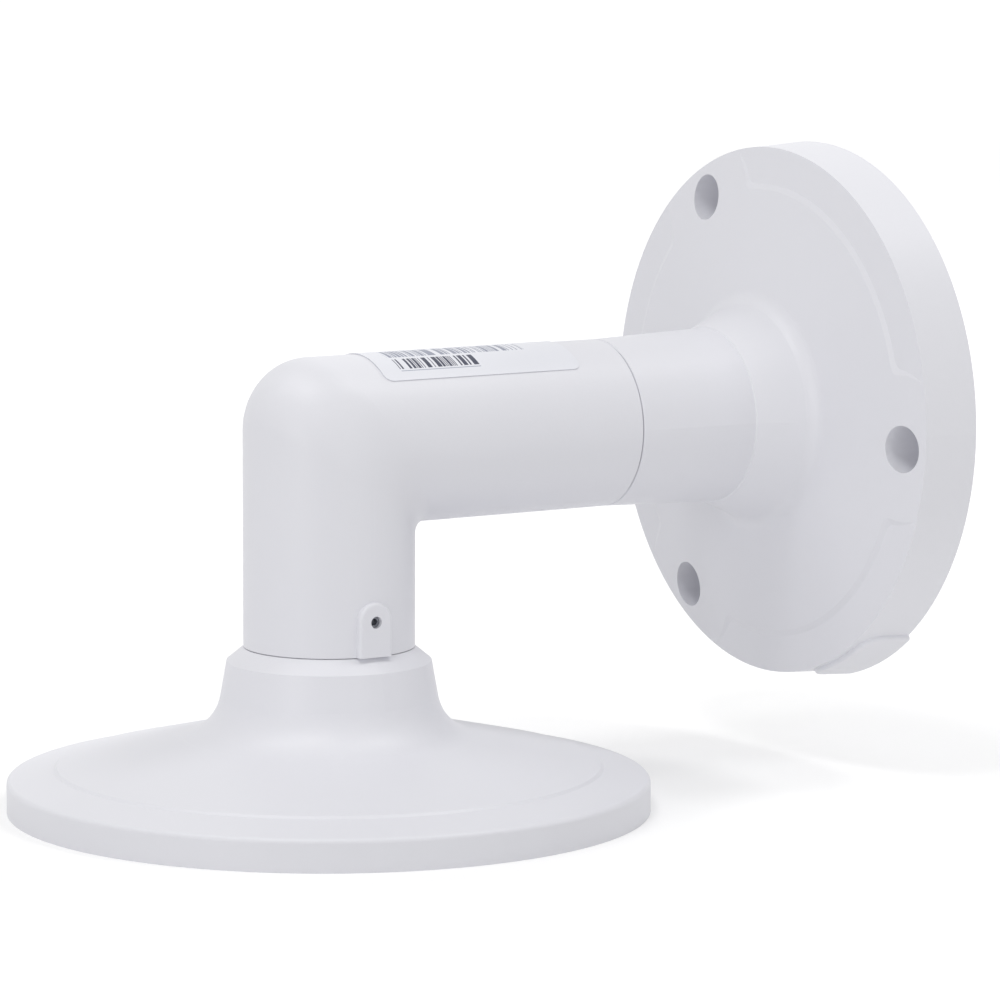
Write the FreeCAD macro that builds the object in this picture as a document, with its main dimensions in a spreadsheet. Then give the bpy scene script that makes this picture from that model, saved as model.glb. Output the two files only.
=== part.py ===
import FreeCAD, Part
import math
import os
import re
import Sketcher
from FreeCAD import Placement, Rotation, Vector

# A camera wall bracket: a round wall flange, a hollow elbow arm and a round
# plate below it that carries the camera. +Z is up, the wall is the plane
# Y = 0 and the arm runs along -Y. Millimetres and degrees.

doc = FreeCAD.newDocument("camera_wall_bracket")

# Three screws hold the wall plate, and three hold the camera.

SCREWS = 3
PITCH = 360 / SCREWS

# The driving dimensions, one row each: name and value.

DIMENSIONS = [
    # tube of the neck, the arm and the drop
    ("tube_radius", 18.4),
    ("arm_reach", 127.35),
    ("arm_start", 58.7),
    ("drop_end", 43.75),
    ("bend_outer_radius", 14.0),
    ("bend_inner_radius", 3.0),
    ("tube_wall", 4.0),
    ("seam_chamfer", 0.25),
    ("seam_gap", 0.2),
    ("seam_recess", 0.8),
    # wall plate
    ("wall_radius", 60.0),
    ("wall_rim_taper", 0.85),
    ("wall_rim_depth", 12.9),
    ("wall_dome_slope", 7.4),
    ("neck_foot_radius", 19.4),
    ("neck_step", 0.3),
    ("neck_step_width", 0.2),
    ("neck_step_depth", 29.6),
    ("wall_flare_angle", 23.5),
    ("wall_flare_radius", 4.0),
    ("wall_shell", 3.5),
    ("wall_rim_wall", 4.6),
    ("band_radius", 51.0),
    ("band_depth", 0.4),
    ("band_step_width", 1.3),
    ("band_corner_radius", 9.0),
    ("lobe_radius", 15.0),
    ("screw_circle_radius", 51.9),
    ("screw_angle", -3.7),
    ("screw_head_radius", 5.15),
    ("screw_hole_radius", 2.75),
    ("screw_seat_depth", 4.0),
    ("screw_boss_wall", 2.5),
    # cable-entry boss on the wall plate's rim
    ("entry_angle", -64.0),
    ("entry_spread", 24.0),
    ("entry_height", 11.5),
    ("entry_proud", 1.0),
    ("entry_corner_radius", 5.0),
    ("entry_edge_radius", 0.6),
    # spigots, sockets and their lock screws
    ("socket_radius", 15.4),
    ("socket_depth", 24.5),
    ("socket_floor_gap", 0.5),
    ("socket_clearance", 0.15),
    ("spigot_chamfer", 0.8),
    ("cable_way_radius", 12.5),
    ("seal_groove_width", 2.2),
    ("seal_groove_depth", 1.6),
    ("seal_setback", 4.0),
    ("seal_clearance", 0.03),
    ("lock_hole_radius", 1.3),
    ("lock_screw_clearance", 0.05),
    ("lock_screw_length", 3.2),
    ("lock_hex_width", 1.5),
    ("lock_hex_depth", 1.3),
    ("neck_lock_setback", 12.7),
    # boss of the lower lock screw
    ("boss_width", 8.0),
    ("boss_top", 32.1),
    ("boss_face", 19.6),
    ("boss_edge_radius", 0.7),
    ("boss_screw_height", 36.3),
    # camera plate
    ("plate_radius", 69.1),
    ("plate_rim_height", 6.89),
    ("collar_radius", 22.0),
    ("collar_chamfer_depth", 46.9),
    ("collar_foot_radius", 24.6),
    ("collar_foot_depth", 61.5),
    ("plate_flare_radius", 10.5),
    ("plate_dome_slope", 13.66),
    ("plate_ring_radius", 59.0),
    ("plate_ring_step", 0.4),
    ("plate_ring_width", 0.6),
    ("plate_edge_radius", 1.0),
    ("plate_shell", 3.5),
    ("plate_rim_wall", 4.6),
    ("plate_spigot_top", 29.9),
    ("plate_spigot_bore", 12.2),
    ("lower_socket_depth", 14.4),
    ("lower_seal_depth", 40.2),
    ("camera_circle_radius", 54.0),
    ("camera_boss_radius", 5.0),
    ("camera_boss_setback", 1.5),
    ("camera_hole_radius", 1.65),
    ("camera_hole_depth", 6.0),
    ("camera_angle", 30.0),
    # gaskets
    ("gasket_inset", 1.0),
    ("gasket_width", 2.2),
    ("gasket_depth", 1.6),
    # label
    ("label_start", 71.0),
    ("label_end", 120.4),
    ("label_angle", 48.0),
    ("label_spread", 78.0),
    ("label_thickness", 0.15),
    ("label_gap", 0.05),
    ("label_corner_radius", 2.0),
]

# What follows from them.

FOLLOWING = [
    ("wall_front_radius", "=wall_radius - wall_rim_taper"),
    ("wall_dome_apex", "=wall_rim_depth + wall_front_radius * tan(wall_dome_slope)"),
    ("wall_flare_slant", "=1 - tan(wall_dome_slope) * tan(wall_flare_angle)"),
    ("wall_flare_foot", "=(neck_foot_radius + neck_step + (neck_step_depth - neck_step_width"
                        " - wall_dome_apex) * tan(wall_flare_angle)) / wall_flare_slant"),
    ("hollow_flare_foot", "=(tube_radius - wall_shell + (neck_step_depth - neck_step_width"
                          " + wall_shell - wall_dome_apex) * tan(wall_flare_angle)) / wall_flare_slant"),
    ("spigot_radius", "=socket_radius - socket_clearance"),
    ("spigot_end", "=arm_start - socket_depth + socket_floor_gap"),
    ("plate_bottom", "=collar_foot_depth + plate_rim_height"
                     " + (plate_radius - collar_foot_radius) * tan(plate_dome_slope)"),
]

sizes = doc.addObject("Spreadsheet::Sheet", "sizes")
for row, (alias, content) in enumerate(DIMENSIONS + FOLLOWING, 1):
    sizes.set(f"A{row}", alias)
    sizes.set(f"B{row}", str(content))
    sizes.setAlias(f"B{row}", alias)
doc.recompute()


def bound(text):
    """Point each size that an expression names at its cell."""
    return re.sub(r"[a-z_]+(?![a-z_(])", lambda found: "sizes." + found.group(0), text)


def value(text):
    """Give an expression's number, for first guesses and for free-form shapes."""
    return float(sizes.evalExpression(bound(text)))


def new_body(name):
    body = doc.addObject("PartDesign::Body", name)
    body.Label = name
    return body


def origin_item(body, role):
    return next(item for item in body.Origin.OriginFeatures if item.Role == role)


def new_sketch(body, name, plane, offset="0", turn=None):
    """Attach a sketch to one of the body's own planes, offset along its normal or turned."""
    sketch = body.newObject("Sketcher::SketchObject", name)
    sketch.AttachmentSupport = [(origin_item(body, plane), "")]
    sketch.MapMode = "FlatFace"
    sketch.setExpression("AttachmentOffset.Base.z", bound(offset))
    if turn:
        sketch.AttachmentOffset = Placement(Vector(), Rotation(Vector(0, 1, 0), value(turn)))
        sketch.setExpression("AttachmentOffset.Rotation.Angle", bound(turn))
    return sketch


def bind(sketch, kind, places, expression):
    """Add a dimension to the sketch and tie it to the sizes."""
    number = sketch.addConstraint(Sketcher.Constraint(kind, *places, value(expression)))
    sketch.setExpression(f"Constraints[{number}]", bound(expression))


def add_outline(sketch, corners):
    """Draw a closed outline of straight edges; each corner's place follows the sizes."""
    points = [Vector(value(across), value(up), 0) for across, up in corners]
    first = sketch.GeometryCount
    count = len(points)
    for index in range(count):
        sketch.addGeometry(Part.LineSegment(points[index], points[(index + 1) % count]))
    for index in range(count):
        following = first + (index + 1) % count
        sketch.addConstraint(Sketcher.Constraint("Coincident", first + index, 2, following, 1))
    for index, (across, up) in enumerate(corners):
        bind(sketch, "DistanceX", (first + index, 1), across)
        bind(sketch, "DistanceY", (first + index, 1), up)


def add_circle(sketch, across, up, radius):
    """Draw a circle whose centre and radius follow the sizes."""
    centre = Vector(value(across), value(up), 0)
    index = sketch.addGeometry(Part.Circle(centre, Vector(0, 0, 1), value(radius)))
    bind(sketch, "DistanceX", (index, 3), across)
    bind(sketch, "DistanceY", (index, 3), up)
    bind(sketch, "Radius", (index,), radius)


def revolve(body, name, sketch, axis="V_Axis", kind="PartDesign::Revolution", angle="360"):
    feature = body.newObject(kind, name)
    feature.Profile = sketch
    feature.ReferenceAxis = (sketch, [axis])
    feature.setExpression("Angle", bound(angle))
    sketch.Visibility = False
    return feature


def extrude(body, name, sketch, length, kind="PartDesign::Pad", reverse=False):
    feature = body.newObject(kind, name)
    feature.Profile = sketch
    feature.Reversed = reverse
    feature.setExpression("Length", bound(length))
    sketch.Visibility = False
    return feature


def edges_of(feature, wanted):
    """Name the edges of a feature's shape that the test picks."""
    return [f"Edge{n}" for n, edge in enumerate(feature.Shape.Edges, 1) if wanted(edge)]


def round_edges(body, name, base, radius, wanted):
    doc.recompute()
    feature = body.newObject("PartDesign::Fillet", name)
    feature.Base = (base, edges_of(base, wanted))
    feature.setExpression("Radius", bound(radius))
    doc.recompute()
    return feature


def full_circle(edge, radius, centre, tolerance=0.01):
    """Tell whether an edge is a circle of this radius about this centre."""
    curve = edge.Curve
    if curve.TypeId != "Part::GeomCircle" or abs(curve.Radius - radius) > tolerance:
        return False
    return (curve.Center - centre).Length < tolerance


def subtract(body, name, tool):
    feature = body.newObject("PartDesign::Boolean", name)
    feature.setObjects([tool])
    feature.Type = "Cut"


def around(radius, start, number):
    """Place one of the three screws on its circle."""
    angle = f"({start} + {number * PITCH})"
    return f"{radius} * cos{angle}", f"{radius} * sin{angle}"


# Wall plate: one casting of a shallow dome, a flare and the neck that the arm
# enters. Its front has a recessed band round the edge, left out round each
# screw hole. Depths are negative Y.

WALL_DOME = "-(wall_rim_depth + (wall_front_radius - {}) * tan(wall_dome_slope))"


def wall_recess():
    """Ring of metal missing from the front, less a round lobe at each screw hole."""
    body = new_body("wall_plate_recess")
    profile = new_sketch(body, "recess_profile", "XY_Plane")
    floor = WALL_DOME.format("band_radius") + " + band_depth"
    brim = WALL_DOME.format("(band_radius - band_step_width)")
    add_outline(profile, [
        ("band_radius", floor),
        ("wall_front_radius", "-wall_rim_depth"),
        ("wall_radius", "-wall_rim_depth"),
        ("wall_radius", "-wall_rim_depth * 1.2"),
        ("band_radius - 2 * band_step_width", f"2 * ({brim}) - ({floor})"),
    ])
    revolve(body, "recess_ring", profile)
    surface = WALL_DOME.format("screw_circle_radius")
    lean, level = "sin(wall_dome_slope)", "cos(wall_dome_slope)"
    for number in range(SCREWS):
        across, up = around("screw_circle_radius", "screw_angle", number)
        turn = f"(screw_angle + {number * PITCH})"
        lobe = body.newObject("PartDesign::SubtractiveCone", f"lobe_{number + 1}")
        lobe.setExpression("Radius1", bound("lobe_radius + band_step_width * 2"))
        lobe.setExpression("Radius2", bound("lobe_radius - band_step_width * 2"))
        lobe.setExpression("Height", bound("band_depth * 4"))
        base = (f"vector({across} - band_depth * 2 * {lean} * cos{turn}; {surface} + band_depth * 2 * {level};"
                f" {up} - band_depth * 2 * {lean} * sin{turn})")
        tilt = f"rotation(vector({level}; {lean} * cos{turn}; 0); acos({lean} * sin{turn}))"
        lobe.setExpression("Placement", bound(f"placement({base}; {tilt})"))
    inner, outer = value("band_radius - band_step_width * 2"), value("band_radius")

    def between_ramps(edge):
        middle = edge.valueAt((edge.FirstParameter + edge.LastParameter) / 2)
        reach = math.hypot(middle.x, middle.z)
        depth = middle.y - value(WALL_DOME.format(reach))
        return inner < reach < outer and abs(depth) < value("band_depth") / 4

    round_edges(body, "band_corners", lobe, "band_corner_radius", between_ramps)
    return body


def wall_hollow():
    """Hollow behind the dome, less the three screw bosses."""
    body = new_body("wall_plate_hollow")
    profile = new_sketch(body, "hollow_profile", "XY_Plane")
    inner = "(tube_radius - wall_shell)"
    foot = WALL_DOME.format("hollow_flare_foot") + " + wall_shell"
    top = "-(arm_start - socket_depth - wall_shell)"
    add_outline(profile, [
        ("0", "0"),
        ("wall_radius - wall_rim_wall", "0"),
        ("wall_front_radius - wall_rim_wall", WALL_DOME.format("wall_front_radius") + " + wall_shell"),
        ("hollow_flare_foot", foot),
        (inner, "-(neck_step_depth - neck_step_width)"),
        (inner, top),
        ("0", top),
    ])
    space = revolve(body, "hollow_space", profile)
    centre = Vector(0, value(foot), 0)
    round_edges(body, "hollow_flare", space, "wall_flare_radius",
                lambda edge: full_circle(edge, value("hollow_flare_foot"), centre))
    bosses = new_sketch(body, "boss_circles", "XZ_Plane")
    for number in range(SCREWS):
        across, up = around("screw_circle_radius", "screw_angle", number)
        add_circle(bosses, across, up, "screw_head_radius + screw_boss_wall")
    extrude(body, "bosses", bosses, "wall_rim_depth * 2", "PartDesign::Pocket", True)
    return body


def wall_plate():
    body = new_body("wall_plate")
    profile = new_sketch(body, "casting_profile", "XY_Plane")
    add_outline(profile, [
        ("0", "0"),
        ("wall_radius", "0"),
        ("wall_front_radius", "-wall_rim_depth"),
        ("wall_flare_foot", WALL_DOME.format("wall_flare_foot")),
        ("neck_foot_radius + neck_step", "-(neck_step_depth - neck_step_width)"),
        ("neck_foot_radius", "-neck_step_depth"),
        ("tube_radius", "-(arm_start - seam_gap)"),
        ("tube_radius - seam_recess", "-(arm_start - seam_gap)"),
        ("tube_radius - seam_recess", "-arm_start"),
        ("0", "-arm_start"),
    ])
    casting = revolve(body, "casting", profile)
    foot = Vector(0, value(WALL_DOME.format("wall_flare_foot")), 0)
    round_edges(body, "flare", casting, "wall_flare_radius",
                lambda edge: full_circle(edge, value("wall_flare_foot"), foot))
    entry_boss(body)
    subtract(body, "recess", wall_recess())
    subtract(body, "hollow", wall_hollow())
    neck = new_sketch(body, "neck_profile", "XY_Plane")
    add_outline(neck, [
        ("0", "0"),
        ("cable_way_radius", "0"),
        ("cable_way_radius", "-(arm_start - socket_depth)"),
        ("socket_radius", "-(arm_start - socket_depth)"),
        ("socket_radius", "-arm_start"),
        ("0", "-arm_start"),
    ])
    revolve(body, "neck_bore", neck, kind="PartDesign::Groove")
    gasket = new_sketch(body, "gasket_profile", "XY_Plane")
    add_outline(gasket, gasket_outline("wall_radius", "0", -1))
    revolve(body, "gasket_groove", gasket, kind="PartDesign::Groove")
    for name, radius, depth in (("screw_holes", "screw_hole_radius", "0"),
                                ("screw_heads", "screw_head_radius", "screw_seat_depth")):
        circles = new_sketch(body, name + "_circles", "XZ_Plane", depth)
        for number in range(SCREWS):
            across, up = around("screw_circle_radius", "screw_angle", number)
            add_circle(circles, across, up, radius)
        extrude(body, name, circles, "wall_rim_depth * 2", "PartDesign::Pocket", True)
    lock = new_sketch(body, "lock_circle", "XY_Plane")
    add_circle(lock, "0", "-(arm_start - neck_lock_setback)", "lock_hole_radius")
    hole = extrude(body, "lock_hole", lock, "tube_radius * 2", "PartDesign::Pocket")
    doc.recompute()
    chamfer = body.newObject("PartDesign::Chamfer", "seam_edge")
    rim = Vector(0, -value("arm_start - seam_gap"), 0)
    chamfer.Base = (hole, edges_of(hole, lambda e: full_circle(e, value("tube_radius"), rim)))
    chamfer.setExpression("Size", bound("seam_chamfer"))
    return body


def entry_boss(body):
    """Arch-shaped pad on the rim, where a side cable entry can be cut; it tapers as the rim does."""
    profile = new_sketch(body, "entry_profile", "XY_Plane", turn="-(entry_angle + entry_spread / 2)")
    taper = "wall_rim_taper * entry_height / wall_rim_depth"
    root = "wall_radius - wall_rim_wall"
    add_outline(profile, [
        (root, "0"),
        ("wall_radius + entry_proud", "0"),
        (f"wall_radius + entry_proud - {taper}", "-entry_height"),
        (root, "-entry_height"),
    ])
    pad = revolve(body, "entry_pad", profile, angle="entry_spread")
    height = value("entry_height")
    arch = round_edges(body, "entry_arch", pad, "entry_corner_radius",
                       lambda edge: edge.Curve.TypeId == "Part::GeomLine"
                       and all(abs(v.Y + height) < 0.001 for v in edge.Vertexes))
    outside = value("wall_radius + entry_proud")
    slope = value(taper) / height

    def on_pad_face(edge):
        middle = edge.valueAt((edge.FirstParameter + edge.LastParameter) / 2)
        reach = math.hypot(middle.x, middle.z)
        return middle.y < -0.01 and abs(reach - (outside + middle.y * slope)) < 0.01

    round_edges(body, "entry_edge", arch, "entry_edge_radius", on_pad_face)


def gasket_outline(radius, level, side):
    """Section of a gasket ring just inside a rim; side is -1 where it sinks towards -Y."""
    outer = f"{radius} - gasket_inset"
    inner = f"{radius} - gasket_inset - gasket_width"
    deep = f"{level} + {side} * gasket_depth"
    return [(inner, level), (outer, level), (outer, deep), (inner, deep)]


def gasket_ring(name, plane, radius, level, side, place=None):
    body = new_body(name)
    profile = new_sketch(body, name + "_profile", plane)
    add_outline(profile, gasket_outline(radius, level, side))
    revolve(body, name + "_ring", profile)
    if place:
        body.setExpression("Placement.Base.y", bound(place))
    return body


# Elbow arm: one casting. Its bend is a surface of ellipses whose outer and
# inner ends follow two quarter circles, tangent to both straight tubes.


def bend_corners(radius, outer, inner, reach):
    """Centres and end points, in the YZ plane, of the bend's two quarter circles."""
    far = Vector(0, -reach - radius + outer, radius - outer)
    near = Vector(0, -reach + radius + inner, -radius - inner)
    up, out = Vector(0, 0, 1), Vector(0, -1, 0)
    outer_poles = [far + up * outer, far + (up + out) * outer, far + out * outer]
    inner_poles = [near + up * inner, near + (up + out) * inner, near + out * inner]
    return outer_poles, inner_poles


def bend_solid(radius, outer, inner, reach):
    """Bend between two slanting ellipses, as a rational surface with round sections."""
    outer_poles, inner_poles = bend_corners(radius, outer, inner, reach)
    half = math.sqrt(0.5)
    ring = [(1, 0, 1), (1, 1, half), (0, 1, 1), (-1, 1, half), (-1, 0, 1),
            (-1, -1, half), (0, -1, 1), (1, -1, half), (1, 0, 1)]
    poles, weights = [], []
    for along, weight in enumerate((1, half, 1)):
        middle = (outer_poles[along] + inner_poles[along]) / 2
        reach_out = (outer_poles[along] - inner_poles[along]) / 2
        poles.append([middle + reach_out * c + Vector(radius * s, 0, 0) for c, s, w in ring])
        weights.append([weight * w for c, s, w in ring])
    skin = Part.BSplineSurface()
    skin.buildFromPolesMultsKnots(poles, [3, 3], [3, 2, 2, 2, 3], [0, 1], [0, 1, 2, 3, 4],
                                  False, False, 2, 2, weights)
    side = skin.toShape()
    ends = [Part.Face(Part.Wire([skin.uIso(u).toShape()])) for u in (0, 1)]
    shell = Part.makeShell([side] + ends)
    shell.sewShape()
    return Part.makeSolid(shell)


def beyond(first, second, away, width):
    """Wide prism on the far side of the slanting plane through two points."""
    span = (second - first).normalize() * width
    points = [first - span, second + span, second + span + away * width, first - span + away * width]
    side = Vector(width, 0, 0)
    face = Part.Face(Part.makePolygon([p - side for p in points + points[:1]]))
    return face.extrude(side * 2)


def bent_tube(radius, outer, inner, start, end):
    """Solid round bar along the arm and the drop, from depth start to depth end."""
    reach = value("arm_reach")
    outer_poles, inner_poles = bend_corners(radius, outer, inner, reach)
    out, up = Vector(0, -1, 0), Vector(0, 0, 1)
    arm = Part.makeCylinder(radius, reach, Vector(0, -start, 0), out)
    arm = arm.cut(beyond(inner_poles[0], outer_poles[0], out, reach * 2))
    drop = Part.makeCylinder(radius, reach, Vector(0, -reach, -end), up)
    drop = drop.cut(beyond(inner_poles[2], outer_poles[2], up, reach * 2))
    return arm.fuse([bend_solid(radius, outer, inner, reach), drop])


def elbow_arm():
    body = new_body("elbow_arm")
    tube = doc.addObject("Part::Feature", "arm_casting")
    wall = value("tube_wall")
    radius = value("tube_radius")
    outer, inner = value("bend_outer_radius"), value("bend_inner_radius")
    start, end = value("arm_start"), value("drop_end")
    skin = bent_tube(radius, outer, inner, start, end)
    way = bent_tube(radius - wall, outer - wall, inner + wall, start + wall,
                    value("drop_end - lower_socket_depth"))
    tube.Shape = skin.cut(way)
    body.BaseFeature = tube
    doc.recompute()
    spigot = new_sketch(body, "spigot_profile", "XY_Plane")
    add_outline(spigot, [
        ("cable_way_radius", "-spigot_end"),
        ("spigot_radius - spigot_chamfer", "-spigot_end"),
        ("spigot_radius", "-(spigot_end + spigot_chamfer)"),
        ("spigot_radius", "-(arm_start + tube_wall / 2)"),
        ("cable_way_radius", "-(arm_start + tube_wall / 2)"),
    ])
    revolve(body, "spigot", spigot)
    bore = new_sketch(body, "bore_profile", "XY_Plane")
    add_outline(bore, [
        ("0", "-spigot_end"),
        ("cable_way_radius", "-spigot_end"),
        ("cable_way_radius", "-(arm_start + tube_wall * 1.5)"),
        ("0", "-(arm_start + tube_wall * 1.5)"),
    ])
    revolve(body, "spigot_bore", bore, kind="PartDesign::Groove")
    groove = new_sketch(body, "seal_profile", "XY_Plane")
    add_outline(groove, seal_outline("-(spigot_end + seal_setback + seal_groove_width)"))
    revolve(body, "seal_groove", groove, kind="PartDesign::Groove")
    pad_shape = new_sketch(body, "boss_outline", "YZ_Plane", "tube_radius - tube_wall / 2")
    boss_outline(pad_shape)
    boss = extrude(body, "lock_boss", pad_shape, "boss_face - tube_radius + tube_wall / 2")
    round_edges(body, "lock_boss_edge", boss, "boss_edge_radius", on_boss_face)
    socket = new_sketch(body, "socket_circle", "XY_Plane", "-drop_end")
    add_circle(socket, "0", "-arm_reach", "socket_radius")
    extrude(body, "lower_socket", socket, "lower_socket_depth", "PartDesign::Pocket", True)
    hole = new_sketch(body, "boss_screw_circle", "YZ_Plane")
    add_circle(hole, "-arm_reach", "-boss_screw_height", "lock_hole_radius")
    drilled = extrude(body, "boss_screw_hole", hole, "boss_face * 2", "PartDesign::Pocket", True)
    doc.recompute()
    chamfer = body.newObject("PartDesign::Chamfer", "arm_seam_edge")
    rim = Vector(0, -start, 0)
    chamfer.Base = (drilled, edges_of(drilled, lambda e: full_circle(e, radius, rim)))
    chamfer.setExpression("Size", bound("seam_chamfer"))
    return body


def on_boss_face(edge):
    """Tell whether an edge bounds the flat face of the lock-screw boss, apart from its foot."""
    face = value("boss_face")
    flat = all(abs(vertex.X - face) < 0.001 for vertex in edge.Vertexes)
    return flat and edge.BoundBox.ZMax > -value("drop_end") + 0.01


def boss_outline(sketch):
    """Flat-bottomed arch: two sides, a half circle on top and the tube's lower end."""
    half = "boss_width / 2"
    low, high = "-drop_end", f"-(boss_top + {half})"
    left, right = f"-arm_reach - {half}", f"-arm_reach + {half}"
    centre = Vector(-value("arm_reach"), value(high), 0)
    radius = value(half)
    corners = [Vector(value(left), value(high), 0), Vector(value(left), value(low), 0),
               Vector(value(right), value(low), 0), Vector(value(right), value(high), 0)]
    for index in range(3):
        sketch.addGeometry(Part.LineSegment(corners[index], corners[index + 1]))
    circle = Part.Circle(centre, Vector(0, 0, 1), radius)
    sketch.addGeometry(Part.ArcOfCircle(circle, 0, math.pi))
    for first, end, second, start in ((0, 2, 1, 1), (1, 2, 2, 1), (2, 2, 3, 1), (3, 2, 0, 1)):
        sketch.addConstraint(Sketcher.Constraint("Coincident", first, end, second, start))
    bind(sketch, "DistanceX", (0, 1), left)
    bind(sketch, "DistanceY", (0, 1), high)
    bind(sketch, "DistanceX", (0, 2), left)
    bind(sketch, "DistanceY", (0, 2), low)
    bind(sketch, "DistanceX", (1, 2), right)
    bind(sketch, "DistanceY", (1, 2), low)
    bind(sketch, "DistanceX", (3, 3), "-arm_reach")
    bind(sketch, "DistanceY", (3, 3), high)


def seal_outline(low):
    """Section of an O-ring groove in a spigot, from the depth low upwards."""
    floor = "spigot_radius - seal_groove_depth"
    high = f"{low} + seal_groove_width"
    return [(floor, low), ("socket_radius", low), ("socket_radius", high), (floor, high)]


def seal_ring(name):
    """O-ring squeezed between the groove's floor and the socket's wall."""
    ring = doc.addObject("Part::Torus", name)
    ring.Label = name
    gap = "(socket_clearance + seal_groove_depth)"
    ring.setExpression("Radius1", bound(f"socket_radius - {gap} / 2"))
    ring.setExpression("Radius2", bound(f"{gap} / 2 - seal_clearance"))
    return ring


def arm_seal_ring():
    ring = seal_ring("arm_seal_ring")
    ring.Placement = Placement(Vector(), Rotation(Vector(1, 0, 0), 90))
    ring.setExpression("Placement.Base.y", bound("-(spigot_end + seal_setback + seal_groove_width / 2)"))
    return ring


def plate_seal_ring():
    ring = seal_ring("plate_seal_ring")
    ring.setExpression("Placement.Base.y", bound("-arm_reach"))
    ring.setExpression("Placement.Base.z", bound("-(lower_seal_depth + seal_groove_width / 2)"))
    return ring


# Camera plate: one casting of a spigot, a collar, a flare, a shallow cone and
# a rim. Its underside is hollow, with three bosses for the camera's screws.

PLATE_DOME = "-(collar_foot_depth + ({} - collar_foot_radius) * tan(plate_dome_slope))"


def camera_plate():
    body = new_body("camera_plate")
    body.setExpression("Placement.Base.y", bound("-arm_reach"))
    ring_inner = "(plate_ring_radius - plate_ring_width)"
    profile = new_sketch(body, "plate_profile", "XZ_Plane")
    add_outline(profile, [
        ("0", "-plate_spigot_top"),
        ("spigot_radius - spigot_chamfer", "-plate_spigot_top"),
        ("spigot_radius", "-(plate_spigot_top + spigot_chamfer)"),
        ("spigot_radius", "-drop_end"),
        ("tube_radius - seam_recess", "-drop_end"),
        ("tube_radius - seam_recess", "-(drop_end + seam_gap)"),
        ("tube_radius", "-(drop_end + seam_gap)"),
        ("collar_radius", "-collar_chamfer_depth"),
        ("collar_foot_radius", "-collar_foot_depth"),
        (ring_inner, PLATE_DOME.format(ring_inner) + " + plate_ring_step / 2"),
        ("plate_ring_radius", PLATE_DOME.format("plate_ring_radius") + " - plate_ring_step / 2"),
        ("plate_radius", PLATE_DOME.format("plate_radius")),
        ("plate_radius", "-plate_bottom"),
        ("0", "-plate_bottom"),
    ])
    casting = revolve(body, "plate_casting", profile)
    foot = Vector(0, 0, -value("collar_foot_depth"))
    flare = round_edges(body, "plate_flare", casting, "plate_flare_radius",
                        lambda edge: circle_at_height(edge, value("collar_foot_radius"), foot.z))
    rim = value(PLATE_DOME.format("plate_radius"))
    round_edges(body, "plate_edge", flare, "plate_edge_radius",
                lambda edge: circle_at_height(edge, value("plate_radius"), rim))
    hollow = new_sketch(body, "plate_hollow_profile", "XZ_Plane")
    inner = "(collar_radius - plate_shell)"
    outer = "(plate_radius - plate_rim_wall)"
    ceiling = PLATE_DOME + " - plate_shell / cos(plate_dome_slope)"
    add_outline(hollow, [
        ("0", "-plate_bottom"),
        (outer, "-plate_bottom"),
        (outer, ceiling.format(outer)),
        (inner, ceiling.format(inner)),
        (inner, "-(drop_end + plate_shell)"),
        ("0", "-(drop_end + plate_shell)"),
    ])
    space = revolve(body, "plate_hollow", hollow, kind="PartDesign::Groove")
    level = value(ceiling.format(inner))
    round_edges(body, "plate_hollow_flare", space, "plate_flare_radius",
                lambda edge: circle_at_height(edge, value(inner), level))
    bore = new_sketch(body, "plate_bore_circle", "XY_Plane", "-plate_spigot_top")
    add_circle(bore, "0", "0", "plate_spigot_bore")
    extrude(body, "plate_bore", bore, "plate_bottom", "PartDesign::Pocket")
    seal = new_sketch(body, "plate_seal_profile", "XZ_Plane")
    add_outline(seal, seal_outline("-(lower_seal_depth + seal_groove_width)"))
    revolve(body, "plate_seal_groove", seal, kind="PartDesign::Groove")
    gasket = new_sketch(body, "plate_gasket_profile", "XZ_Plane")
    add_outline(gasket, gasket_outline("plate_radius", "-plate_bottom", 1))
    revolve(body, "plate_gasket_groove", gasket, kind="PartDesign::Groove")
    low = "-(plate_bottom - camera_boss_setback)"
    bosses = new_sketch(body, "camera_boss_circles", "XY_Plane", low)
    holes = new_sketch(body, "camera_hole_circles", "XY_Plane", low)
    for number in range(SCREWS):
        across, up = around("camera_circle_radius", "camera_angle", number)
        add_circle(bosses, across, up, "camera_boss_radius")
        add_circle(holes, across, up, "camera_hole_radius")
    outside = PLATE_DOME.format("(camera_circle_radius + camera_boss_radius)")
    height = f"{outside} - plate_ring_step - plate_shell / 4 + plate_bottom - camera_boss_setback"
    extrude(body, "camera_bosses", bosses, height)
    extrude(body, "camera_holes", holes, "camera_hole_depth", "PartDesign::Pocket", True)
    return body


def circle_at_height(edge, radius, height):
    """Tell whether an edge is a level circle of this radius at this height."""
    curve = edge.Curve
    if curve.TypeId != "Part::GeomCircle" or abs(curve.Radius - radius) > 0.01:
        return False
    return abs(curve.Center.z - height) < 0.01


# Lock screws: grub screws with a hexagon socket, at their core size because no
# thread is cut in the holes. The neck's screw points up, the lower one inwards.


def grub_screw(name):
    """Screw along +X with its point at the origin and its socket at the far end."""
    body = new_body(name)
    round_bar = new_sketch(body, name + "_circle", "YZ_Plane")
    add_circle(round_bar, "0", "0", "lock_hole_radius - lock_screw_clearance")
    extrude(body, name + "_bar", round_bar, "lock_screw_length")
    socket = new_sketch(body, name + "_hexagon", "YZ_Plane", "lock_screw_length")
    corner = "lock_hex_width / 2 / cos(30)"
    add_outline(socket, [(f"{corner} * cos({60 * n})", f"{corner} * sin({60 * n})") for n in range(6)])
    extrude(body, name + "_socket", socket, "lock_hex_depth", "PartDesign::Pocket")
    return body


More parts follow.
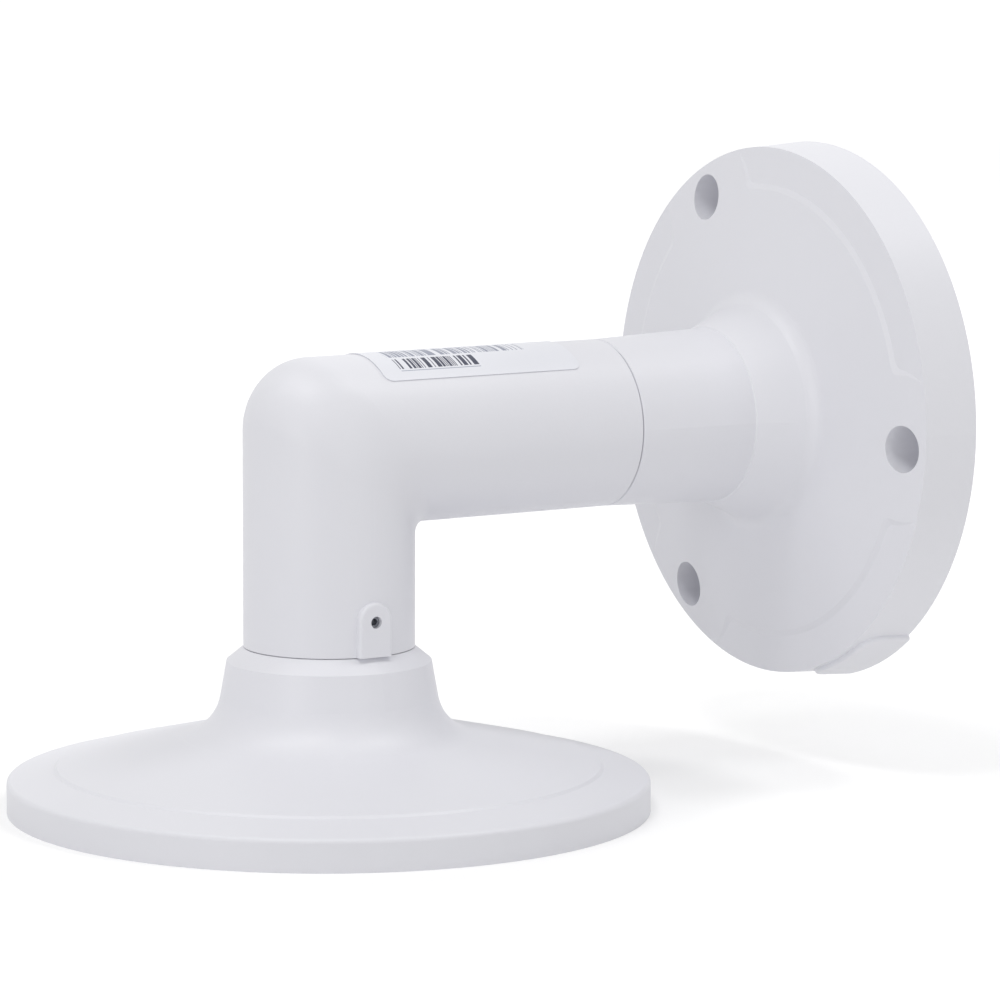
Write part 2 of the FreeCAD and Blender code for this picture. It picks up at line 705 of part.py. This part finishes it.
def lock_screw():
    body = grub_screw("lock_screw")
    body.setExpression("Placement.Base.x", bound("spigot_radius + lock_screw_clearance"))
    body.setExpression("Placement.Base.y", bound("-arm_reach"))
    body.setExpression("Placement.Base.z", bound("-boss_screw_height"))
    return body


def neck_lock_screw():
    body = grub_screw("neck_lock_screw")
    body.Placement = Placement(Vector(), Rotation(Vector(0, 1, 0), 90))
    body.setExpression("Placement.Base.y", bound("-(arm_start - neck_lock_setback)"))
    body.setExpression("Placement.Base.z", bound("-(spigot_radius + lock_screw_clearance)"))
    return body


# Label: a thin sheet bent round the top of the arm, with rounded corners.


def arm_label():
    length = "label_end - label_start"
    rings = []
    for name, radius in (("label_outside", "tube_radius + label_gap + label_thickness"),
                         ("label_inside", "tube_radius + label_gap")):
        ring = doc.addObject("Part::Cylinder", name)
        ring.setExpression("Radius", bound(radius))
        ring.setExpression("Height", bound(length))
        ring.setExpression("Angle", bound("label_spread"))
        rings.append(ring)
    strip = doc.addObject("Part::Cut", "label_strip")
    strip.Base, strip.Tool = rings
    doc.recompute()
    label = doc.addObject("Part::Fillet", "arm_label")
    label.Label = "arm_label"
    label.Base = strip
    corner = value("label_corner_radius")
    thin = value("label_thickness")
    short = [n for n, e in enumerate(strip.Shape.Edges, 1) if abs(e.Length - thin) < 0.001]
    label.Edges = [(n, corner, corner) for n in short]
    turn = Rotation(Vector(1, 0, 0), 90) * Rotation(Vector(0, 0, 1), value("label_angle"))
    label.Placement = Placement(Vector(0, -value("label_start"), 0), turn)
    return label


parts = [
    wall_plate(),
    gasket_ring("wall_gasket", "XY_Plane", "wall_radius", "0", -1),
    elbow_arm(),
    arm_seal_ring(),
    neck_lock_screw(),
    camera_plate(),
    gasket_ring("camera_gasket", "XZ_Plane", "plate_radius", "-plate_bottom", 1, "-arm_reach"),
    plate_seal_ring(),
    lock_screw(),
    arm_label(),
]
doc.recompute()

failed = [item.Name for item in doc.Objects if {"Invalid", "Error"} & set(item.State)]
if failed:
    raise RuntimeError("failed objects: " + ", ".join(failed))
for part in parts:
    if part.Shape.isNull() or not part.Shape.isValid() or len(part.Shape.Solids) != 1:
        raise RuntimeError("bad shape: " + part.Label)

os.makedirs("parts", exist_ok=True)
for part in parts:
    part.Shape.exportStep(f"parts/{part.Label}.step")
    print(part.Label, round(part.Shape.Volume, 1), len(part.Shape.Faces))
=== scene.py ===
import bpy
import math
from mathutils import Matrix, Vector


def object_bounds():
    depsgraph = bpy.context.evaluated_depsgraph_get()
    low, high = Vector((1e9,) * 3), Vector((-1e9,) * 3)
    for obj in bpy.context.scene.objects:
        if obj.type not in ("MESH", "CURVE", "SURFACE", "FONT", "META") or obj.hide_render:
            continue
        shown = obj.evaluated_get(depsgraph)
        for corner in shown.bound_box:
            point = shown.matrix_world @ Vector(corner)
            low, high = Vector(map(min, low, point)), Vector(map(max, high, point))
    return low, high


# A white wall bracket for a dome camera. +Z is up, the wall is the plane Y = 0
# and the arm runs along -Y. Metres.

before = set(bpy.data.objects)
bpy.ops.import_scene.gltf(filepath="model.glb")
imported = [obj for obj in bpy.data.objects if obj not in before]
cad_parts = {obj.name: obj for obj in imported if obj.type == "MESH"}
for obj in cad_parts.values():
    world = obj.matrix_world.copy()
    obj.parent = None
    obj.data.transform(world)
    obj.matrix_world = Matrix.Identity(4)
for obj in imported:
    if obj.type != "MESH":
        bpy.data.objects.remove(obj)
cad_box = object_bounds()

# Wall plate: the flange that is screwed to the wall, with the neck that takes
# the arm. It is cast in aluminium, machined at the neck and powder coated. The
# coat is the finish of all three castings, so it is made here, with its tools.


class Field:
    """A number or colour that varies over a surface; sums on fields add Math nodes."""

    def __init__(self, finish, socket):
        self.finish = finish
        self.socket = socket

    def combine(self, operation, first, second):
        return self.finish.add("ShaderNodeMath", {"operation": operation}, {0: first, 1: second})

    def __add__(self, other):
        return self.combine("ADD", self, other)

    def __mul__(self, other):
        return self.combine("MULTIPLY", self, other)

    def __truediv__(self, other):
        return self.combine("DIVIDE", self, other)

    def __gt__(self, other):
        return self.combine("GREATER_THAN", self, other)

    def __lt__(self, other):
        return self.combine("LESS_THAN", self, other)

    __radd__ = __add__
    __rmul__ = __mul__


class Finish:
    """A material with one Principled shader, and the nodes that feed it."""

    def __init__(self, name, colour, roughness):
        self.material = bpy.data.materials.new(name)
        self.material.use_nodes = True
        self.tree = self.material.node_tree
        self.shader = self.tree.nodes["Principled BSDF"]
        self.shader.inputs["Base Color"].default_value = (*colour, 1)
        self.shader.inputs["Roughness"].default_value = roughness

    def add(self, kind, settings, inputs, output=0):
        node = self.tree.nodes.new(kind)
        for name, setting in settings.items():
            setattr(node, name, setting)
        for name, content in inputs.items():
            self.fill(node.inputs[name], content)
        return Field(self, node.outputs[output])

    def fill(self, socket, content):
        if isinstance(content, Field):
            self.tree.links.new(content.socket, socket)
        else:
            socket.default_value = content

    def place(self):
        return self.add("ShaderNodeTexCoord", {}, {}, "Object")

    def noise(self, size, detail=2.0):
        """Cloudy pattern from 0 to 1 whose lumps are about this many metres wide."""
        inputs = {"Vector": self.place(), "Scale": 1 / size, "Detail": detail}
        return self.add("ShaderNodeTexNoise", {}, inputs)

    def blend(self, share, first, second):
        """Mix two colours by a field."""
        return self.add("ShaderNodeMix", {"data_type": "RGBA"}, {0: share, 6: first, 7: second}, 2)

    def bump(self, height, depth):
        """Raise the surface by a field from 0 to 1, this many metres deep."""
        normal = self.add("ShaderNodeBump", {}, {"Height": height, "Distance": depth, "Strength": 1.0})
        self.fill(self.shader.inputs["Normal"], normal)

    def dress(self, *pieces):
        for piece in pieces:
            piece.data.materials.clear()
            piece.data.materials.append(self.material)


# The powder coat is white with a hair of blue. It has an orange peel of one or
# two millimetres, a finer grain, and a tone that drifts along a casting.

coat = Finish("white_powder_coat", (0.786, 0.787, 0.83), 0.42)
drift = coat.noise(0.055)
grain = coat.noise(0.0007, 3.0)
peel = coat.noise(0.0016)
tone = coat.blend(0.7 * drift + 0.3 * grain, (0.772, 0.772, 0.815, 1), (0.800, 0.801, 0.843, 1))
coat.fill(coat.shader.inputs["Base Color"], tone)
coat.fill(coat.shader.inputs["Roughness"], 0.40 + 0.06 * drift)
coat.bump(0.65 * peel + 0.35 * grain, 0.000012)
coat.dress(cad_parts["wall_plate"])

# Gaskets and O-rings: moulded black rubber, pressed into the grooves of the
# castings before the bracket is screwed up.

rubber = Finish("black_rubber", (0.022, 0.022, 0.024), 0.62)
bloom = rubber.noise(0.004, 3.0)
black = rubber.blend(bloom, (0.018, 0.018, 0.019, 1), (0.034, 0.034, 0.036, 1))
rubber.fill(rubber.shader.inputs["Base Color"], black)
rubber.fill(rubber.shader.inputs["Roughness"], 0.55 + 0.2 * bloom)
rubber.bump(rubber.noise(0.0005), 0.00001)
for name in ("wall_gasket", "camera_gasket", "arm_seal_ring", "plate_seal_ring"):
    rubber.dress(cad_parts[name])

# Elbow arm: the hollow L-shaped casting between the two plates.

coat.dress(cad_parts["elbow_arm"])

# Lock screws: short grub screws of dark plated steel with a hexagon socket,
# sunk in the boss of the arm and in the underside of the neck.

plating = Finish("dark_plated_steel", (0.25, 0.26, 0.29), 0.38)
plating.shader.inputs["Metallic"].default_value = 1.0
wear = plating.noise(0.0006, 3.0)
steel = plating.blend(wear, (0.19, 0.20, 0.23, 1), (0.32, 0.33, 0.36, 1))
plating.fill(plating.shader.inputs["Base Color"], steel)
plating.fill(plating.shader.inputs["Roughness"], 0.3 + 0.2 * wear)
for name in ("lock_screw", "neck_lock_screw"):
    plating.dress(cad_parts[name])

# Camera plate: the dish under the drop that carries the camera.

coat.dress(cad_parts["camera_plate"])

# Label: a strip of white film stuck round the top of the arm. Two rows of
# plain bars are printed on it, fine dark ones and fainter ones, with a rule.

film = Finish("label_film", (0.79, 0.80, 0.85), 0.34)
across, along, height = [film.add("ShaderNodeSeparateXYZ", {}, {0: film.place()}, axis) for axis in range(3)]
turn = film.add("ShaderNodeMath", {"operation": "ARCTAN2"}, {0: height, 1: across}) * (180 / math.pi)


def bar_row(near, far, low, high, pitch, share):
    """Bars between two distances from the wall and two angles, this share of them printed."""
    step = film.add("ShaderNodeMath", {"operation": "FLOOR"}, {0: along / pitch})
    draw = film.add("ShaderNodeTexWhiteNoise", {"noise_dimensions": "1D"}, {"W": step})
    inside = (along > -far) * (along < -near) * (turn > low) * (turn < high)
    return (draw < share) * inside


soil = film.noise(0.02)
white = film.blend(soil, (0.780, 0.788, 0.838, 1), (0.805, 0.813, 0.863, 1))
faint_row = bar_row(0.0813, 0.1160, 74.0, 89.0, 0.00026, 0.5)
dark_row = bar_row(0.0955, 0.1155, 58.5, 71.0, 0.00021, 0.5)
rule = bar_row(0.0955, 0.1155, 56.2, 57.0, 0.001, 1.0)
printed = film.blend(faint_row, white, (0.26, 0.28, 0.36, 1))
printed = film.blend(rule, printed, (0.40, 0.42, 0.50, 1))
printed = film.blend(dark_row, printed, (0.032, 0.038, 0.075, 1))
film.fill(film.shader.inputs["Base Color"], printed)
film.fill(film.shader.inputs["Roughness"], 0.32 + 0.05 * soil)
film.bump(film.noise(0.003), 0.000006)
film.dress(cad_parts["arm_label"])

# Studio: a white floor that the bracket stands on, an even dome of light, six
# soft round lamps and the camera. Floor and dome show white to the camera and in
# reflections, and the floor is lifted more with distance, where the lamps fade.

bpy.ops.object.select_all(action="DESELECT")
bpy.ops.mesh.primitive_plane_add(size=60, location=(0, 0, cad_box[0][2]))
floor = bpy.context.object
floor.name = "floor"
ground = Finish("floor_paint", (0.8, 0.8, 0.8), 0.9)
ground.shader.inputs["Specular IOR Level"].default_value = 0.0
ground.shader.inputs["Emission Strength"].default_value = 1.0
ground.material.cycles.emission_sampling = "NONE"
seen = ground.add("ShaderNodeLightPath", {}, {}, "Is Camera Ray")
mirrored = ground.add("ShaderNodeLightPath", {}, {}, "Is Glossy Ray")
reach = ground.add("ShaderNodeVectorMath", {"operation": "LENGTH"}, {0: ground.place()}, 1)
lift = ground.add("ShaderNodeMath", {"operation": "MINIMUM"}, {0: 0.24 + 0.14 * reach, 1: 0.60})
ground.fill(ground.shader.inputs["Emission Color"], (seen + mirrored) * lift)
ground.dress(floor)

world = bpy.data.worlds.new("studio")
bpy.context.scene.world = world
world.use_nodes = True
nodes = world.node_tree.nodes
links = world.node_tree.links
sky = nodes["Background"]
sky.inputs["Color"].default_value = (1, 1, 1, 1)
paths = nodes.new("ShaderNodeLightPath")
either = nodes.new("ShaderNodeMath")
either.operation = "MAXIMUM"
links.new(paths.outputs["Is Camera Ray"], either.inputs[0])
links.new(paths.outputs["Is Glossy Ray"], either.inputs[1])
shown = nodes.new("ShaderNodeMix")
links.new(either.outputs[0], shown.inputs[0])
shown.inputs[2].default_value = 0.57
shown.inputs[3].default_value = 1.0
links.new(shown.outputs[0], sky.inputs["Strength"])

aim = Vector((0, -0.09, -0.01))
lamp_distance = 1.6
lamp_size = 0.45


def add_lamp(name, turn, rise, energy):
    """Round soft lamp, turned from +X towards +Y and raised by these degrees."""
    turn, rise = math.radians(turn), math.radians(rise)
    towards = Vector((math.cos(rise) * math.cos(turn), math.cos(rise) * math.sin(turn), math.sin(rise)))
    bpy.ops.object.light_add(type="AREA", location=aim + towards * lamp_distance)
    lamp = bpy.context.object
    lamp.name = name
    lamp.rotation_euler = towards.to_track_quat("Z", "Y").to_euler()
    lamp.data.shape = "DISK"
    lamp.data.size = lamp_size
    lamp.data.energy = energy


add_lamp("high_front_lamp", 300, 65, 4.2)
add_lamp("high_left_lamp", 240, 65, 2.0)
add_lamp("high_back_lamp", 60, 65, 3.1)
add_lamp("low_front_lamp", 292, 8, 2.7)
add_lamp("low_side_lamp", 0, 8, 1.1)
add_lamp("wall_side_lamp", 103, 25, 7.9)

camera_data = bpy.data.cameras.new("camera")
camera = bpy.data.objects.new("camera", camera_data)
bpy.context.scene.collection.objects.link(camera)
yaw, pitch, roll = math.radians(57.37), math.radians(7.661), math.radians(0.195)
camera.matrix_world = (Matrix.Translation((0.926377, -0.677148, 0.132495))
                       @ Matrix.Rotation(yaw, 4, "Z")
                       @ Matrix.Rotation(math.pi / 2 - pitch, 4, "X")
                       @ Matrix.Rotation(roll, 4, "Z"))
camera_data.sensor_width = 36
camera_data.lens = 183.28
bpy.context.scene.camera = camera
bpy.context.scene.view_settings.view_transform = "Standard"
